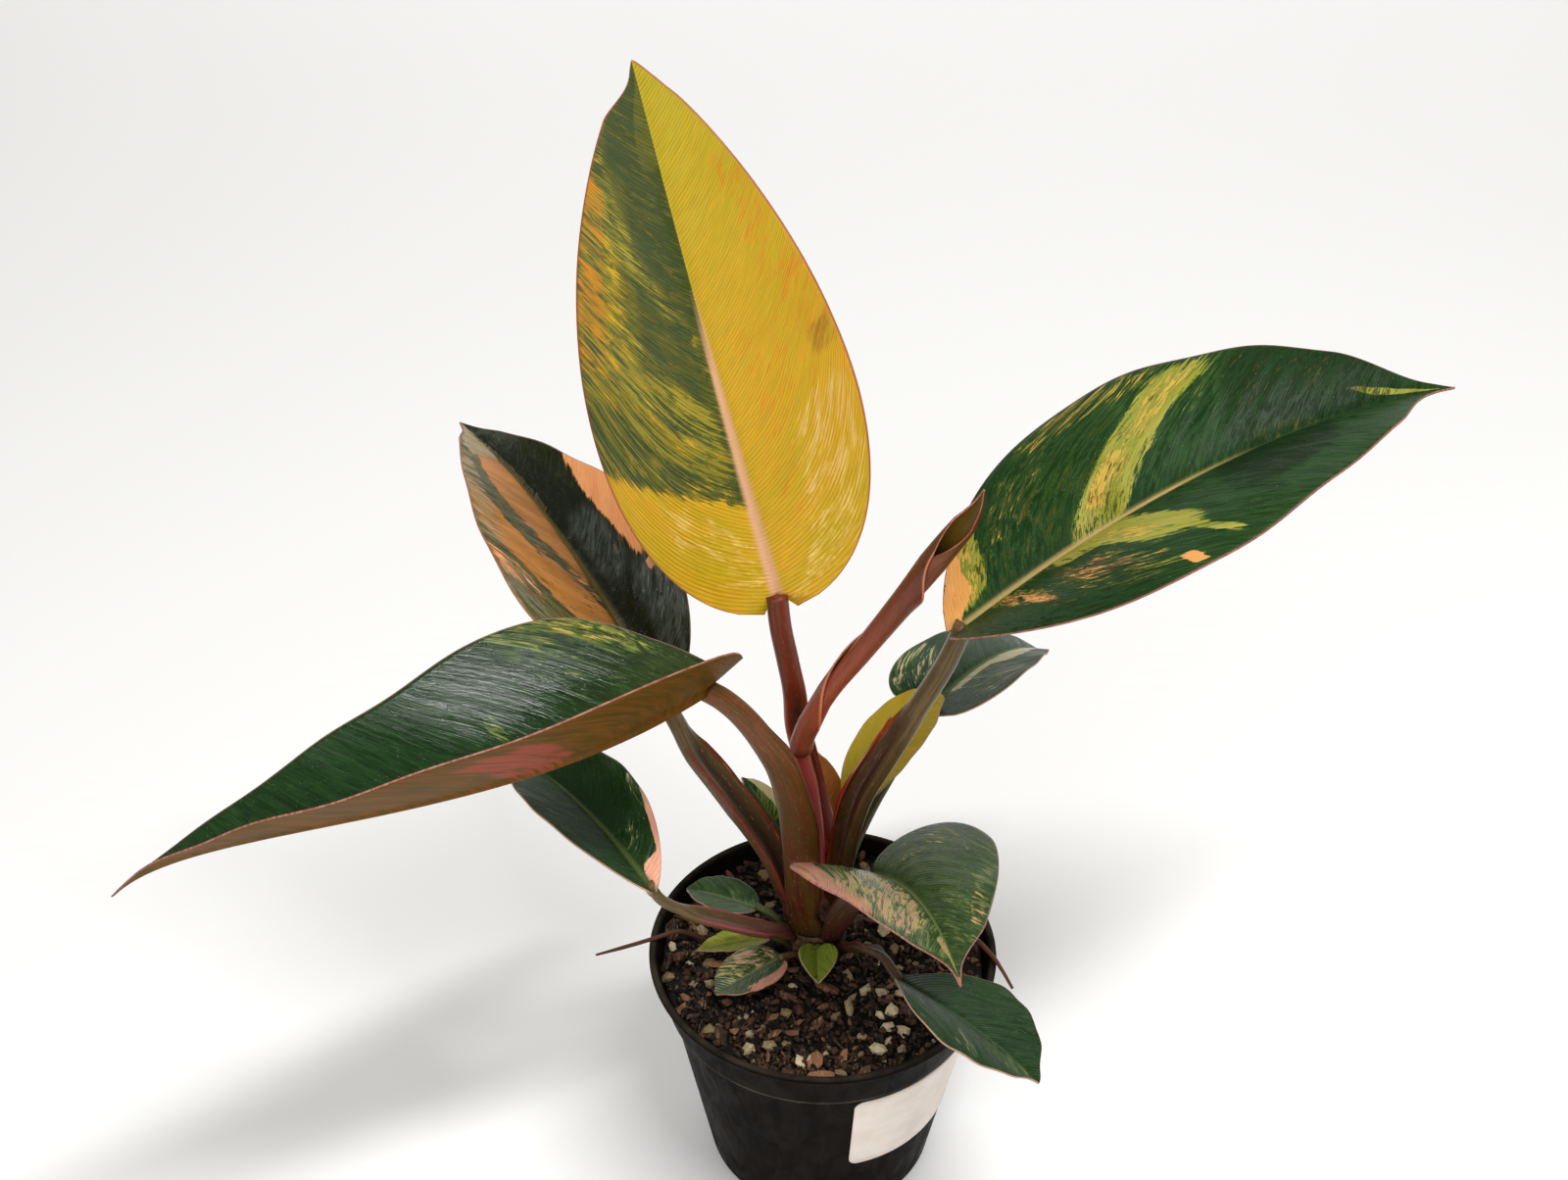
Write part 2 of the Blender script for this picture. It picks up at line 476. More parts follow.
frontRightLeaf = dict(
    base=(14.5, 0, 113), heading=299, tilt=37.5, droop=65, sweep=-13.5, roll=-4.5, twist=2, long=64,
    wide=66, fold=(39, 38), curl=(-54, -17), swell=0.76, taper=1.2, lobe=0.06, asym=0.09, wave=0.4,
    rows=120, cols=76, ribWide=1.0, quiltStep=6, drip=(0.7, 0.7), dripFrom=0.76, marginWide=0.8,
    lime=((0.5, 0.5, 0.5, 0.4, 0.46), (-0.5, 0.72, 0.5, 0.14, 0.3), (-0.85, 0.5, 0.15, 0.2, 0.36)),
    orange=((0.9, 0.3, 0.14, 0.3, 0.8), (0.35, 0.36, 0.2, 0.1, 0.42), (-0.5, 0.98, 0.5, 0.03, 0.7),
        (0.3, 0.98, 0.5, 0.03, 0.7)),
    cream=((0.5, 0.5, 0.4, 0.24, 0.52, 0.1), (-0.8, 0.68, 0.14, 0.08, 0.42), (-0.6, 0.2, 0.35, 0.06, 0.3),
        (0.1, 0.86, 0.15, 0.1, 0.85)))
lowRightLeaf = dict(
    base=(22.5, -34.5, 103), heading=323, tilt=-1.5, droop=23.5, sweep=-1.5, roll=32.5, twist=-9, long=48.5,
    wide=41, fold=(12, 22), curl=(15, -42), marginWide=0.6, swell=0.75, taper=0.74, wave=0.3, rows=110,
    cols=60, ribWide=0.6, quilt=0.08, quiltStep=5,
    lime=((0.3, 0.8, 0.5, 0.15, 0.36),),
    cream=((0.6, 0.55, 0.3, 0.12, 0.3),))
backRightLeaf = dict(
    base=(35, 50, 139), heading=50, tilt=7.5, droop=48.5, roll=8, twist=-6.5, long=68, wide=41.5,
    fold=(12.5, 13), curl=(-9, 1.5), marginWide=0.6, swell=0.33, taper=0.83, lobe=0.08, asym=-0.05,
    wave=0.4, rows=110, cols=56, ribWide=0.8, quilt=0.1, quiltStep=6,
    lime=((0.2, 0.85, 0.4, 0.1, 0.6),),
    cream=((0.3, 0.7, 0.22, 0.28, 0.9, 0.3), (0.12, 0.4, 0.08, 0.3, 0.8), (0.5, 0.25, 0.4, 0.18, 0.34),
        (-0.7, 0.15, 0.3, 0.12, 0.4)))
yellowLeaf = dict(
    base=(8.5, 23, 123), heading=15, tilt=62.5, droop=26, sweep=-2.5, roll=-13.5, twist=-3, long=45.5,
    wide=22, fold=(19, 15), curl=(-13, -11), marginWide=0.4, swell=0.54, taper=0.52, wave=0.2, cols=46,
    ribWide=0.8, quilt=0.06, quiltStep=4,
    lime=((0, 0.5, 1, 0.6, 0.5),),
    gold=((0.0, 0.5, 1.1, 0.6, 1.4),))
orangeLeaf = dict(
    tinyLeaf, base=(0, 28, 110), heading=100, tilt=66, droop=10, long=22, wide=15, wave=0, ribWide=0.6,
    orange=((0, 0.5, 1.1, 0.6, 1.4),))
creamLeaf = dict(
    tinyLeaf, base=(-13, 25, 108), heading=146, tilt=52, droop=14, long=21, wide=13, wave=0, ribWide=0.6,
    lime=((0.3, 0.4, 0.3, 0.3, 0.5),), cream=((0.85, 0.4, 0.35, 0.5, 1.1),))
pupBack = dict(
    tinyLeaf, base=(-21, 14, 86), heading=165, tilt=10, droop=12, long=23, wide=15.5, taper=0.7,
    lime=((0, 0.2, 0.6, 0.2, 0.3),))
pupMid = dict(
    tinyLeaf, base=(-17, 3.5, 83.5), heading=193, tilt=2, droop=10, long=23, wide=10,
    lime=((0, 0.5, 1.2, 0.7, 0.9),), gold=((0, 0.5, 1.2, 0.6, 0.42),))
pupFront = dict(
    tinyLeaf, base=(-13.5, -6, 83.5), heading=218, tilt=4, droop=8, long=24.5, wide=17.5, swell=0.5,
    taper=0.66, orange=((-0.85, 0.3, 0.25, 0.3, 0.9), (0.6, 0.2, 0.4, 0.2, 0.4)),
    cream=((0.5, 0.4, 0.6, 0.4, 0.5),), dark=((-0.2, 0.6, 0.5, 0.25, 0.7),))
pupSmall = dict(
    tinyLeaf, base=(-1.5, -2, 84), heading=270, tilt=-6, droop=12, long=13, wide=14, fold=(38, 38), wave=0,
    rows=50, ribWide=0.4, quilt=0.04, lime=((0, 0.5, 1.2, 0.7, 0.7),))

goldSkin = leafSkin("waxyLeafGold", 3, deepGreen="#33411a", freshGreen="#565c1e", darkTone="#2b3a12",
    lime="#80771e", limeTwo="#968a22", limeMid="#646018", gold="#bf9a12", goldTwo="#cb9a14",
    goldMid="#7c6c16", tipTone="#ab9c18", orange="#c47a14", cream="#d8bc6a", rib="#d6a47a",
    margin="#a8503a", stain="#8a5a14", darkness=0.7, veinTone=0.12, sheen=0.3, contrast=2.4,
    streakWidth=0.8, streakLength=24, dust=0.3)
darkSkin = leafSkin("waxyLeafDark", 17, deepGreen="#183013", freshGreen="#32502a", darkTone="#0b1c0a",
    lime="#87892f", limeTwo="#a39c46", limeMid="#43602a", gold="#b9a04c", goldTwo="#c9a444",
    goldMid="#6a7030", orange="#dc9c5a", orangeMid="#84683a", rib="#b09a60", contrast=2.8, streakWidth=1.3,
    streakLength=8, roughness=0.34, relief=0.24, sheen=0.08, blotWidth=3.0, blotRelief=2, veinRelief=0.35,
    fineRelief=0.2)
glossSkin = leafSkin("waxyLeafGlossy", 41, deepGreen="#0d280a", freshGreen="#21421a", lime="#75823a",
    limeMid="#3f5a26", gold="#b5a050", goldMid="#6a7030", roughness=0.09, uneven=0.12, sheen=0.4,
    relief=0.34, streakRelief=2.2, fineRelief=0.25, veinRelief=0.15, rib="#46582c")
flameSkin = leafSkin("waxyLeafFlame", 53, deepGreen="#12180a", freshGreen="#27300f", lime="#56501a",
    limeMid="#3d3a12", orange="#a4681c", orangeTwo="#c27c2c", orangeMid="#724c16", gold="#f4a872",
    goldTwo="#ea9a60", goldMid="#a06a38", cream="#a08c66", creamMid="#806a38", rib="#5a4c1c",
    stain="#59625a", margin="#9c6a4a", streakWidth=1.6, streakLength=14, contrast=2.6, roughness=0.09,
    uneven=0.1, sheen=0.32, relief=0.4, blotRelief=5, fineRelief=0.2, veinRelief=0.2)
smallSkin = leafSkin("waxyLeafSmall", 71, deepGreen="#122c10", freshGreen="#26461b", lime="#6c7a34",
    limeMid="#3f5a28", orange="#eaa886", orangeMid="#c09068", cream="#b3aa80", creamMid="#56683c",
    streakWidth=0.8, streakLength=8, margin="#9c7a5c", rib="#4c5e32", roughness=0.3, contrast=3, sheen=0.2,
    dust=0.55)
pupSkin = leafSkin("waxyLeafPup", 29, deepGreen="#2c4424", freshGreen="#4a6438", lime="#6c8048",
    limeMid="#54703c", margin="#8a8a66", rib="#66784a", streakWidth=0.8, streakLength=6, roughness=0.3,
    sheen=0.3)
mottledSkin = leafSkin("waxyLeafMottled", 83, deepGreen="#2a4020", freshGreen="#465a30", cream="#a89a62",
    creamTwo="#b08a66", creamMid="#666b36", orange="#b8806a", orangeMid="#84664a", lime="#6c7440",
    limeMid="#4c6232", streakWidth=2.6, streakLength=4, rib="#626e42", margin="#a0685f", contrast=3.2,
    blotWidth=2.6, roughness=0.3, sheen=0.4, dust=0.7)
limeSkin = leafSkin("waxyLeafLime", 37, deepGreen="#2f4c14", freshGreen="#4c6a1c", lime="#76882a",
    limeMid="#5c7420", gold="#a39a34", rib="#8a9440", margin="#8f8a4c", streakWidth=1.2)
yellowSkin = leafSkin("waxyLeafYellow", 97, deepGreen="#8f8620", freshGreen="#a99526", gold="#cbac2c",
    goldTwo="#bfae34", lime="#a39c2c", limeMid="#b5a028", orange="#8a5010", rib="#c9a440", margin="#c08a40",
    sheen=0.3, dust=0.25)
redUnder = leafUnderside("leafUndersideRed", 5, "#51400f", "#744816", "#9a4634")
greenUnder = leafUnderside("leafUndersideGreen", 9, "#4a5a34", "#64703e", "#7a5a3c")
goldUnder = leafUnderside("leafUndersideGold", 13, "#b08a30", "#8c8436", "#a86c3c")
redEdge = leafEdge("leafMarginRed", "#8a4a3c")
paleEdge = leafEdge("leafMarginPale", "#a98a6c")

bladeList = (
    ("leaf_top", topLeaf, goldSkin, goldUnder, redEdge, "leaf_gold"),
    ("leaf_right", rightLeaf, darkSkin, redUnder, redEdge, "leaf_dark"),
    ("leaf_left", leftLeaf, glossSkin, redUnder, redEdge, "leaf_dark"),
    ("leaf_back_left", backLeftLeaf, flameSkin, redUnder, redEdge, "leaf_dark"),
    ("leaf_low_left", lowLeftLeaf, smallSkin, greenUnder, paleEdge, "leaf_dark"),
    ("leaf_front_right", frontRightLeaf, mottledSkin, redUnder, redEdge, "leaf_cream"),
    ("leaf_low_right", lowRightLeaf, smallSkin, greenUnder, paleEdge, "leaf_dark"),
    ("leaf_back_right", backRightLeaf, smallSkin, greenUnder, paleEdge, "leaf_dark"),
    ("leaf_yellow", yellowLeaf, yellowSkin, goldUnder, paleEdge, "leaf_gold"),
    ("leaf_orange", orangeLeaf, yellowSkin, goldUnder, redEdge, "leaf_orange"),
    ("leaf_cream", creamLeaf, smallSkin, greenUnder, paleEdge, "leaf_cream"),
    ("pup_leaf_back", pupBack, pupSkin, greenUnder, paleEdge, "leaf_dark"),
    ("pup_leaf_mid", pupMid, limeSkin, greenUnder, paleEdge, "leaf_lime"),
    ("pup_leaf_front", pupFront, mottledSkin, greenUnder, redEdge, "leaf_cream"),
    ("pup_leaf_small", pupSmall, limeSkin, greenUnder, paleEdge, "leaf_lime"))
for name, spec, top, under, edge, slotName in bladeList:
    makeBlade(name, spec, top, under, edge)
print("blades made:", len(bladeList))


# stalks: a round back, a channel in front and two thin sheath wings that run up to where the sheath ends

def smoothRoute(points):
    steps = 14
    pts = [np.array(p, float) for p in points]
    pts = [2 * pts[0] - pts[1]] + pts + [2 * pts[-1] - pts[-2]]
    line = []
    for a, b, c, d in zip(pts, pts[1:], pts[2:], pts[3:]):
        for u in np.arange(steps) / steps:
            bend = (2 * a - 5 * b + 4 * c - d) * u ** 2 + (3 * b - a - 3 * c + d) * u ** 3
            line.append(0.5 * (2 * b + (c - a) * u + bend))
    return np.array(line + [pts[-2]])


# Place, side and front of a route at each share of its length, and the length
def routeFrames(spec, share):
    line = smoothRoute(spec["route"])
    lengths = np.concatenate([[0], np.cumsum(np.linalg.norm(np.diff(line, axis=0), axis=1))])
    at = share * lengths[-1]
    place = np.stack([np.interp(at, lengths, line[:, k]) for k in range(3)], -1)
    slope = np.gradient(line, lengths, axis=0)
    along = np.stack([np.interp(at, lengths, slope[:, k]) for k in range(3)], -1)
    along = along / np.linalg.norm(along, axis=-1, keepdims=True)
    side = np.cross(along, np.array(spec["opens"], float))
    side = side / np.linalg.norm(side, axis=-1, keepdims=True)
    return place, side, np.cross(side, along), lengths[-1]


# Width, thickness and depth of the channel at each share
def routeForm(spec, share):
    form = np.array(spec["form"], float)
    return [np.interp(share, form[:, 0], form[:, k]) for k in (1, 2, 3)]


# Living stalk: satin, purplish red low down and duller above, finely streaked, with redder wings
def stalkSkin(name, seed, low, high, streaked, wing, inside="#2c180c", roughness=0.36):
    material, tree, shader = startMaterial(name, roughness, 0.28, 1.45)
    grain = addNode(tree, "Attribute", attribute_name="grain")["Vector"]
    tone = readTone(tree, "tone")
    thread = grainNoise(tree, grain, 0.7, 18.0, 0.7, shift=seed)
    broad = grainNoise(tree, grain, 2.6, 26.0, 2.6, detail=2, distortion=0.3, shift=seed + 7)
    speck = grainNoise(tree, grain, 0.4, 1.0, 0.4, detail=2, shift=seed + 3)
    hair = grainNoise(tree, grain, 0.35, 5.0, 0.35, detail=2, distortion=0.6, shift=seed + 17)
    streak = weigh(tree, 0.0, (broad, 0.5), (thread, 0.6))
    rising = breakUp(tree, tone[2], broad, 0.6)
    colour = coat(tree, low, high, rising, 0.12, 0.85)
    colour = coat(tree, colour, streaked, streak, 0.47, 0.62, 0.75)
    hollow = addNode(tree, "Math", tone[1], 0.85, **multiplied)
    colour = addNode(tree, "Mix", hollow, colour, inside, **inColour)
    red = weigh(tree, -0.25, (tone[0], 1.0), (streak, 0.45))
    colour = coat(tree, colour, wing, red, 0.35, 0.75)
    along = addNode(tree, "SeparateXYZ", grain)["X"]
    foot = addNode(tree, "MapRange", along, 0.0, 9.0, 0.7, 0.0, **smoothStep)
    colour = addNode(tree, "Mix", foot, colour, "#24120c", **inColour)
    specks = addNode(tree, "MapRange", speck, 0.64, 0.74, 0.0, 0.4, **smoothStep)
    hairs = addNode(tree, "MapRange", hair, 0.64, 0.74, 0.0, 0.45, **smoothStep)
    marks = addNode(tree, "Math", specks, hairs, operation="MAXIMUM")
    colour = addNode(tree, "Mix", marks, colour, "#a5845c", **inColour)
    finishMaterial(tree, shader, colour, weigh(tree, streak, (hair, 0.4)), 0.28, 0.3)
    return material


def makeStalk(node, spec, material, sides=32, spacing=1.1, ending="Stalk"):
    length = routeFrames(spec, np.array([0.0]))[3]
    rows = int(length / spacing) + 4
    bm, x, y = startSheet(sides, rows)
    row = np.rint((y + 1) / 2 * rows)
    share = np.clip((row - 1) / (rows - 2), 0, 1)
    place, side, front, length = routeFrames(spec, share)
    width, thick, channel = routeForm(spec, share)
    foot = np.clip(1 - share * length / 14, 0, 1)  # the sheath's foot flares over its lowest 14 mm
    flare = 1 - (1 - foot) ** 2
    wideFoot, thickFoot = spec.get("foot", (0, 0))
    width = np.maximum(width, wideFoot * flare)
    thick = np.maximum(thick, thickFoot * flare)
    cos, sin = np.cos(math.pi * (x + 1)), np.sin(math.pi * (x + 1))
    opened = np.clip(channel / 1.2, 0, 1)
    crest = np.exp(-((np.abs(cos) - 0.86) / 0.1) ** 2) * (sin > 0)
    wing = spec.get("wing", 0.9) * opened * (1 + 0.25 * np.sin(share * length / 5.0 + 2 * np.sign(cos)))
    dip = 1.15 * channel * np.exp(-(cos / 0.55) ** 2) * np.clip((sin - 0.1) * 4, 0, 1)
    closed = np.where((row == 0) | (row == rows), 0.0, 1.0)
    out = (width / 2 * cos + 0.35 * wing * crest * np.sign(cos)) * closed
    rise = (thick / 2 * sin + wing * crest - dip) * closed
    hollow = opened * np.exp(-(cos / 0.6) ** 2) * (sin > 0)
    favoured = np.where(cos * spec.get("redSide", 0) < 0, 0.3, 1.0)
    edge = favoured * opened * np.exp(-((np.abs(cos) - 0.84) / 0.14) ** 2) * np.clip(sin * 3 + 0.4, 0, 1)
    edge = np.clip(edge + spec.get("flush", 0.0), 0, 1)
    points = place + side * out[:, None] + front * rise[:, None]
    bendSheet(bm, points, (share * length, 3.5 * cos, 3.5 * sin), tone=(edge, hollow, share))
    finishPiece(pieceName(node, ending), bm, [material], [node], recalc=True)


stalkRed = stalkSkin("stalkSkinRed", 2, "#641d14", "#742c18", "#532c16", "#8c3422", roughness=0.3)
stalkOlive = stalkSkin("stalkSkinOlive", 11, "#4c2416", "#6a5234", "#413a16", "#9c3014", "#3a1a0c", 0.32)
stalkBrown = stalkSkin("stalkSkinBrown", 23, "#4a1a10", "#6e3e1e", "#46380f", "#74241a", roughness=0.32)
stalkTan = stalkSkin("stalkSkinTan", 31, "#45241a", "#706048", "#4a381a", "#6a2a1c", "#201206", 0.34)
stalkRose = stalkSkin("stalkSkinRose", 43, "#6c2f32", "#665a3a", "#584228", "#964450", "#4e3e2c", 0.34)
stalkGreen = stalkSkin("stalkSkinGreen", 59, "#46381e", "#4c5c2a", "#3d481e", "#6a5034")
stalkPlum = stalkSkin("stalkSkinPlum", 77, "#45201a", "#564436", "#38291a", "#7a4642", "#48302a", 0.32)

# Route from the crown up to the blade, the way the channel opens, and the form: share of the route, width,
# thickness and depth of the channel
topStalk = dict(route=((0, 14.5, 85), (0.5, 16, 98), (1, 17, 112), (-2, 17.5, 127), (-5, 18.5, 141),
        (-8, 19.5, 155), (-9, 20, 167), (-11, 20, 179), (-13, 19.5, 191), (-14, 19.5, 202)),
    opens=(0.3, -1, 0),
    form=((0, 4.2, 3.4, 0), (0.2, 7.6, 4.6, 1.6), (0.6, 7.6, 5, 1.6), (0.75, 6.6, 6, 0.2),
        (1, 6.4, 5.6, 0)), foot=(8, 5))
rightStalk = dict(route=((4, 7.5, 86), (4.5, 7.5, 98), (5.5, 6.5, 112), (7.5, 5, 129), (11, 3, 144),
        (18, 0, 161), (25, -3, 178), (32, -6, 196), (36.5, -8, 211.5)), opens=(-0.8, -0.45, 0.5),
    form=((0, 4, 3.2, 0), (0.16, 10, 6, 2), (0.4, 11, 6.6, 2.6), (0.66, 8, 6.6, 1.2), (0.74, 6.2, 6, 0.2),
        (1, 5.6, 5.4, 0)), foot=(11, 5.5), wing=1.3, redSide=-1)
leftStalk = dict(route=((-4.5, 3.2, 86), (-6, 1.8, 98), (-6.6, 0, 115), (-7.5, -1.4, 131), (-9.5, -3, 145),
        (-12.5, -5, 158), (-17, -7, 169), (-23, -8.6, 180), (-28.5, -9.6, 187), (-33.5, -10, 191)),
    opens=(0.35, 1, 0.2),
    form=((0, 4.6, 3.4, 0), (0.14, 11.4, 5.4, 1.8), (0.4, 11.8, 6, 2.2), (0.7, 9.4, 6.4, 1.4),
        (0.8, 8, 6.4, 0.2), (1, 7, 6, 0)), foot=(11, 5.5))
backLeftStalk = dict(route=((-8.6, 12.4, 83), (-11.5, 13.6, 94), (-15.5, 15.4, 106), (-22, 17.5, 118),
        (-31, 20, 131), (-40, 22, 144), (-45.5, 24, 155), (-49.5, 24.5, 162.5)), opens=(0.8, -0.4, 0.6),
    form=((0, 3.8, 3.2, 0), (0.16, 9.4, 5, 1.6), (0.5, 11, 6, 2.6), (0.74, 8.6, 6, 1.4),
        (0.84, 5.8, 5.4, 0.2), (1, 5.2, 5, 0)), foot=(9, 5), wing=1.4)
lowLeftStalk = dict(route=((-9.8, 5.4, 83), (-20, -1, 91), (-30, -6, 99), (-41, -11, 108),
        (-48, -14, 115.5), (-51.5, -15.5, 123.5)), opens=(0, -0.2, 1),
    form=((0, 3.4, 3, 0), (0.2, 7, 3.6, 1), (0.6, 6.4, 3.6, 1), (0.74, 3.6, 3.2, 0), (1, 3.2, 3.2, 0)),
    foot=(7, 4), wing=0.6)
frontRightStalk = dict(route=((1.8, 2.2, 84), (5, 0.2, 94), (9, -1.2, 104), (14.5, 0, 113)),
    opens=(0.2, 0.9, 0.6),
    form=((0, 3.4, 2.8, 0), (0.3, 9, 4.2, 1.6), (0.7, 8, 4.4, 1.4), (0.9, 4.6, 4, 0.2), (1, 4, 4, 0)),
    foot=(8, 4))
lowRightStalk = dict(route=((4.4, 3.6, 79), (10, -6, 88), (13, -14, 96), (17, -23, 101.5), (20, -30, 102.6),
        (21.7, -33.2, 102.2)), opens=(0.3, 0.2, 1),
    form=((0, 3, 2.8, 0), (0.25, 6.4, 3.6, 1), (0.62, 7, 3.6, 1), (0.76, 3.2, 3, 0), (1, 3, 3, 0)),
    foot=(5, 4), wing=0.6)
backRightStalk = dict(route=((4.2, 14.4, 83), (8, 24, 98), (14, 33, 108), (21, 41, 117), (29, 47, 129),
        (35, 50, 139)), opens=(-0.5, -0.5, 1),
    form=((0, 3.2, 2.8, 0), (0.2, 6.4, 4, 1), (0.6, 5.6, 4, 0.8), (1, 3.8, 3.6, 0)), foot=(6, 4), wing=0.5)
yellowStalk = dict(route=((0.2, 18.2, 83), (3, 20, 98), (6, 21.5, 111), (8.5, 23, 123)),
    opens=(-0.6, -0.6, 0.4),
    form=((0, 2.8, 2.6, 0), (0.4, 4.4, 3, 0.6), (1, 2.8, 2.6, 0)), wing=0.3)
orangeStalk = dict(route=((-5.2, 17.4, 80), (-3.6, 21, 93), (-1.6, 24.5, 102), (0, 28, 110)),
    opens=(0, -1, 0.6),
    form=((0, 2.4, 2.4, 0), (0.5, 3.6, 2.8, 0.4), (1, 2.2, 2.2, 0)), wing=0.2)
creamStalk = dict(route=((-9.8, 16.6, 79), (-11.5, 20.5, 92), (-12.5, 23, 101), (-13, 25, 108)),
    opens=(0.4, -1, 0.6),
    form=((0, 2.4, 2.4, 0), (0.5, 3.4, 2.6, 0.4), (1, 2.2, 2.2, 0)), wing=0.2)
pupBackStalk = dict(route=((-10.4, 9.6, 79), (-15, 12, 83.4), (-21, 14, 86)), opens=(0, 0, 1),
    form=((0, 2.4, 2.4, 0), (1, 2.2, 2.2, 0)))
pupMidStalk = dict(route=((-9.2, 3.6, 77.4), (-12, 3.6, 80.4), (-17, 3.5, 83.5)), opens=(0, 0, 1),
    form=((0, 2.2, 2.2, 0), (1, 2, 2, 0)))
pupFrontStalk = dict(route=((-5.6, 1, 78), (-8.5, -2, 81), (-13.5, -6, 83.5)), opens=(0, 0, 1),
    form=((0, 2.4, 2.4, 0), (1, 2.2, 2.2, 0)))
pupSmallStalk = dict(route=((-1.6, 2.4, 76.5), (-1.6, 0.6, 80.5), (-1.5, -2, 84)), opens=(0, 0, 1),
    form=((0, 2.2, 2.2, 0), (1, 2, 2, 0)))

stalkList = (
    ("stalk_top", topStalk, stalkRed), ("stalk_right", rightStalk, stalkOlive),
    ("stalk_left", leftStalk, stalkBrown), ("stalk_back_left", backLeftStalk, stalkTan),
    ("stalk_low_left", lowLeftStalk, stalkRose), ("stalk_front_right", frontRightStalk, stalkPlum),
    ("stalk_low_right", lowRightStalk, stalkPlum), ("stalk_back_right", backRightStalk, stalkGreen),
    ("stalk_yellow", yellowStalk, stalkOlive), ("stalk_orange", orangeStalk, stalkRed),
    ("stalk_cream", creamStalk, stalkGreen), ("pup_stalk_back", pupBackStalk, stalkGreen),
    ("pup_stalk_mid", pupMidStalk, stalkGreen), ("pup_stalk_front", pupFrontStalk, stalkRose),
    ("pup_stalk_small", pupSmallStalk, stalkGreen))
for node, spec, material in stalkList:
    makeStalk(node, spec, material)
print("stalks made:", len(stalkList))


# Free tongue of a sheath: lies on its stalk, narrows to a point and stands off a little there
def makeTongue(node, spec, tongue, material):
    bm, across, y = startSheet(14, 60)
    up = (y + 1) / 2
    share = tongue["fromShare"] + (tongue["toShare"] - tongue["fromShare"]) * up
    place, side, front = routeFrames(spec, share)[:3]
    width, thick = routeForm(spec, share)[:2]
    middle = math.radians((tongue["fromDeg"] + tongue["toDeg"]) / 2)
    spread = math.radians((tongue["toDeg"] - tongue["fromDeg"]) / 2) * np.clip(1 - up ** 3, 0, 1) ** 0.8
    a = middle + across * spread
    lift = 0.35 + tongue["lift"] * up ** 3 + 0.4 * np.abs(across) ** 3 * (1 - up)
    out = (width / 2 + lift) * np.cos(a)
    rise = (thick / 2 + lift) * np.sin(a)
    even = np.ones_like(up)
    points = place + side * out[:, None] + front * rise[:, None]
    tone = (0.35 + 0.5 * np.abs(across) ** 4, 0 * even, 0.3 * even)
    bendSheet(bm, points, (20 + up * 30, across * 4, 2 * even), tone=tone)
    piece = finishPiece(pieceName(node, "Tongue"), bm, [material], [node])
    addWall(piece, 0.4, offset=0)


tongueList = (
    ("stalk_top", topStalk, dict(fromShare=0.2, toShare=0.62, fromDeg=40, toDeg=112, lift=0.5)),
    ("stalk_right", rightStalk, dict(fromShare=0.3, toShare=0.665, fromDeg=118, toDeg=176, lift=0.9)),
    ("stalk_left", leftStalk, dict(fromShare=0.5, toShare=0.72, fromDeg=30, toDeg=80, lift=1.2)))
for node, spec, tongue in tongueList:
    makeTongue(node, spec, tongue, stalkRed)
print("sheath tongues made:", len(tongueList))


# new leaf: a blade still rolled round itself, loose and open at the top, on its own thin stalk

newLeaf = dict(
    route=((-1.5, 8.6, 86), (-1.4, 8.8, 100), (-2, 9, 118), (-4.2, 9.4, 138), (-7, 8.4, 157), (0, 3.2, 179),
        (8.6, -1.3, 196.5), (16.8, -5.7, 213), (24.6, -10.3, 229), (31, -14.3, 243), (36, -17.6, 254),
        (37.6, -19.5, 261)),
    form=((0, 3.4, 3.2, 0), (0.15, 5, 4, 0), (0.34, 5.6, 4.8, 0), (0.38, 7, 6.2, 0), (0.5, 7.2, 6.6, 0),
        (0.7, 7.8, 7.2, 0.6), (0.84, 8.8, 7.2, 2.2), (0.93, 7.2, 5.6, 2), (1, 0.9, 0.8, 0)),
    opens=(0.3, -1, 0.2), rollFrom=0.35, turns=1.8, turnsOpen=0.8, openFrom=0.74, openTo=0.93, edgeAt=138,
    wind=9.5, lipDrop=0.2, cols=96, rows=170)


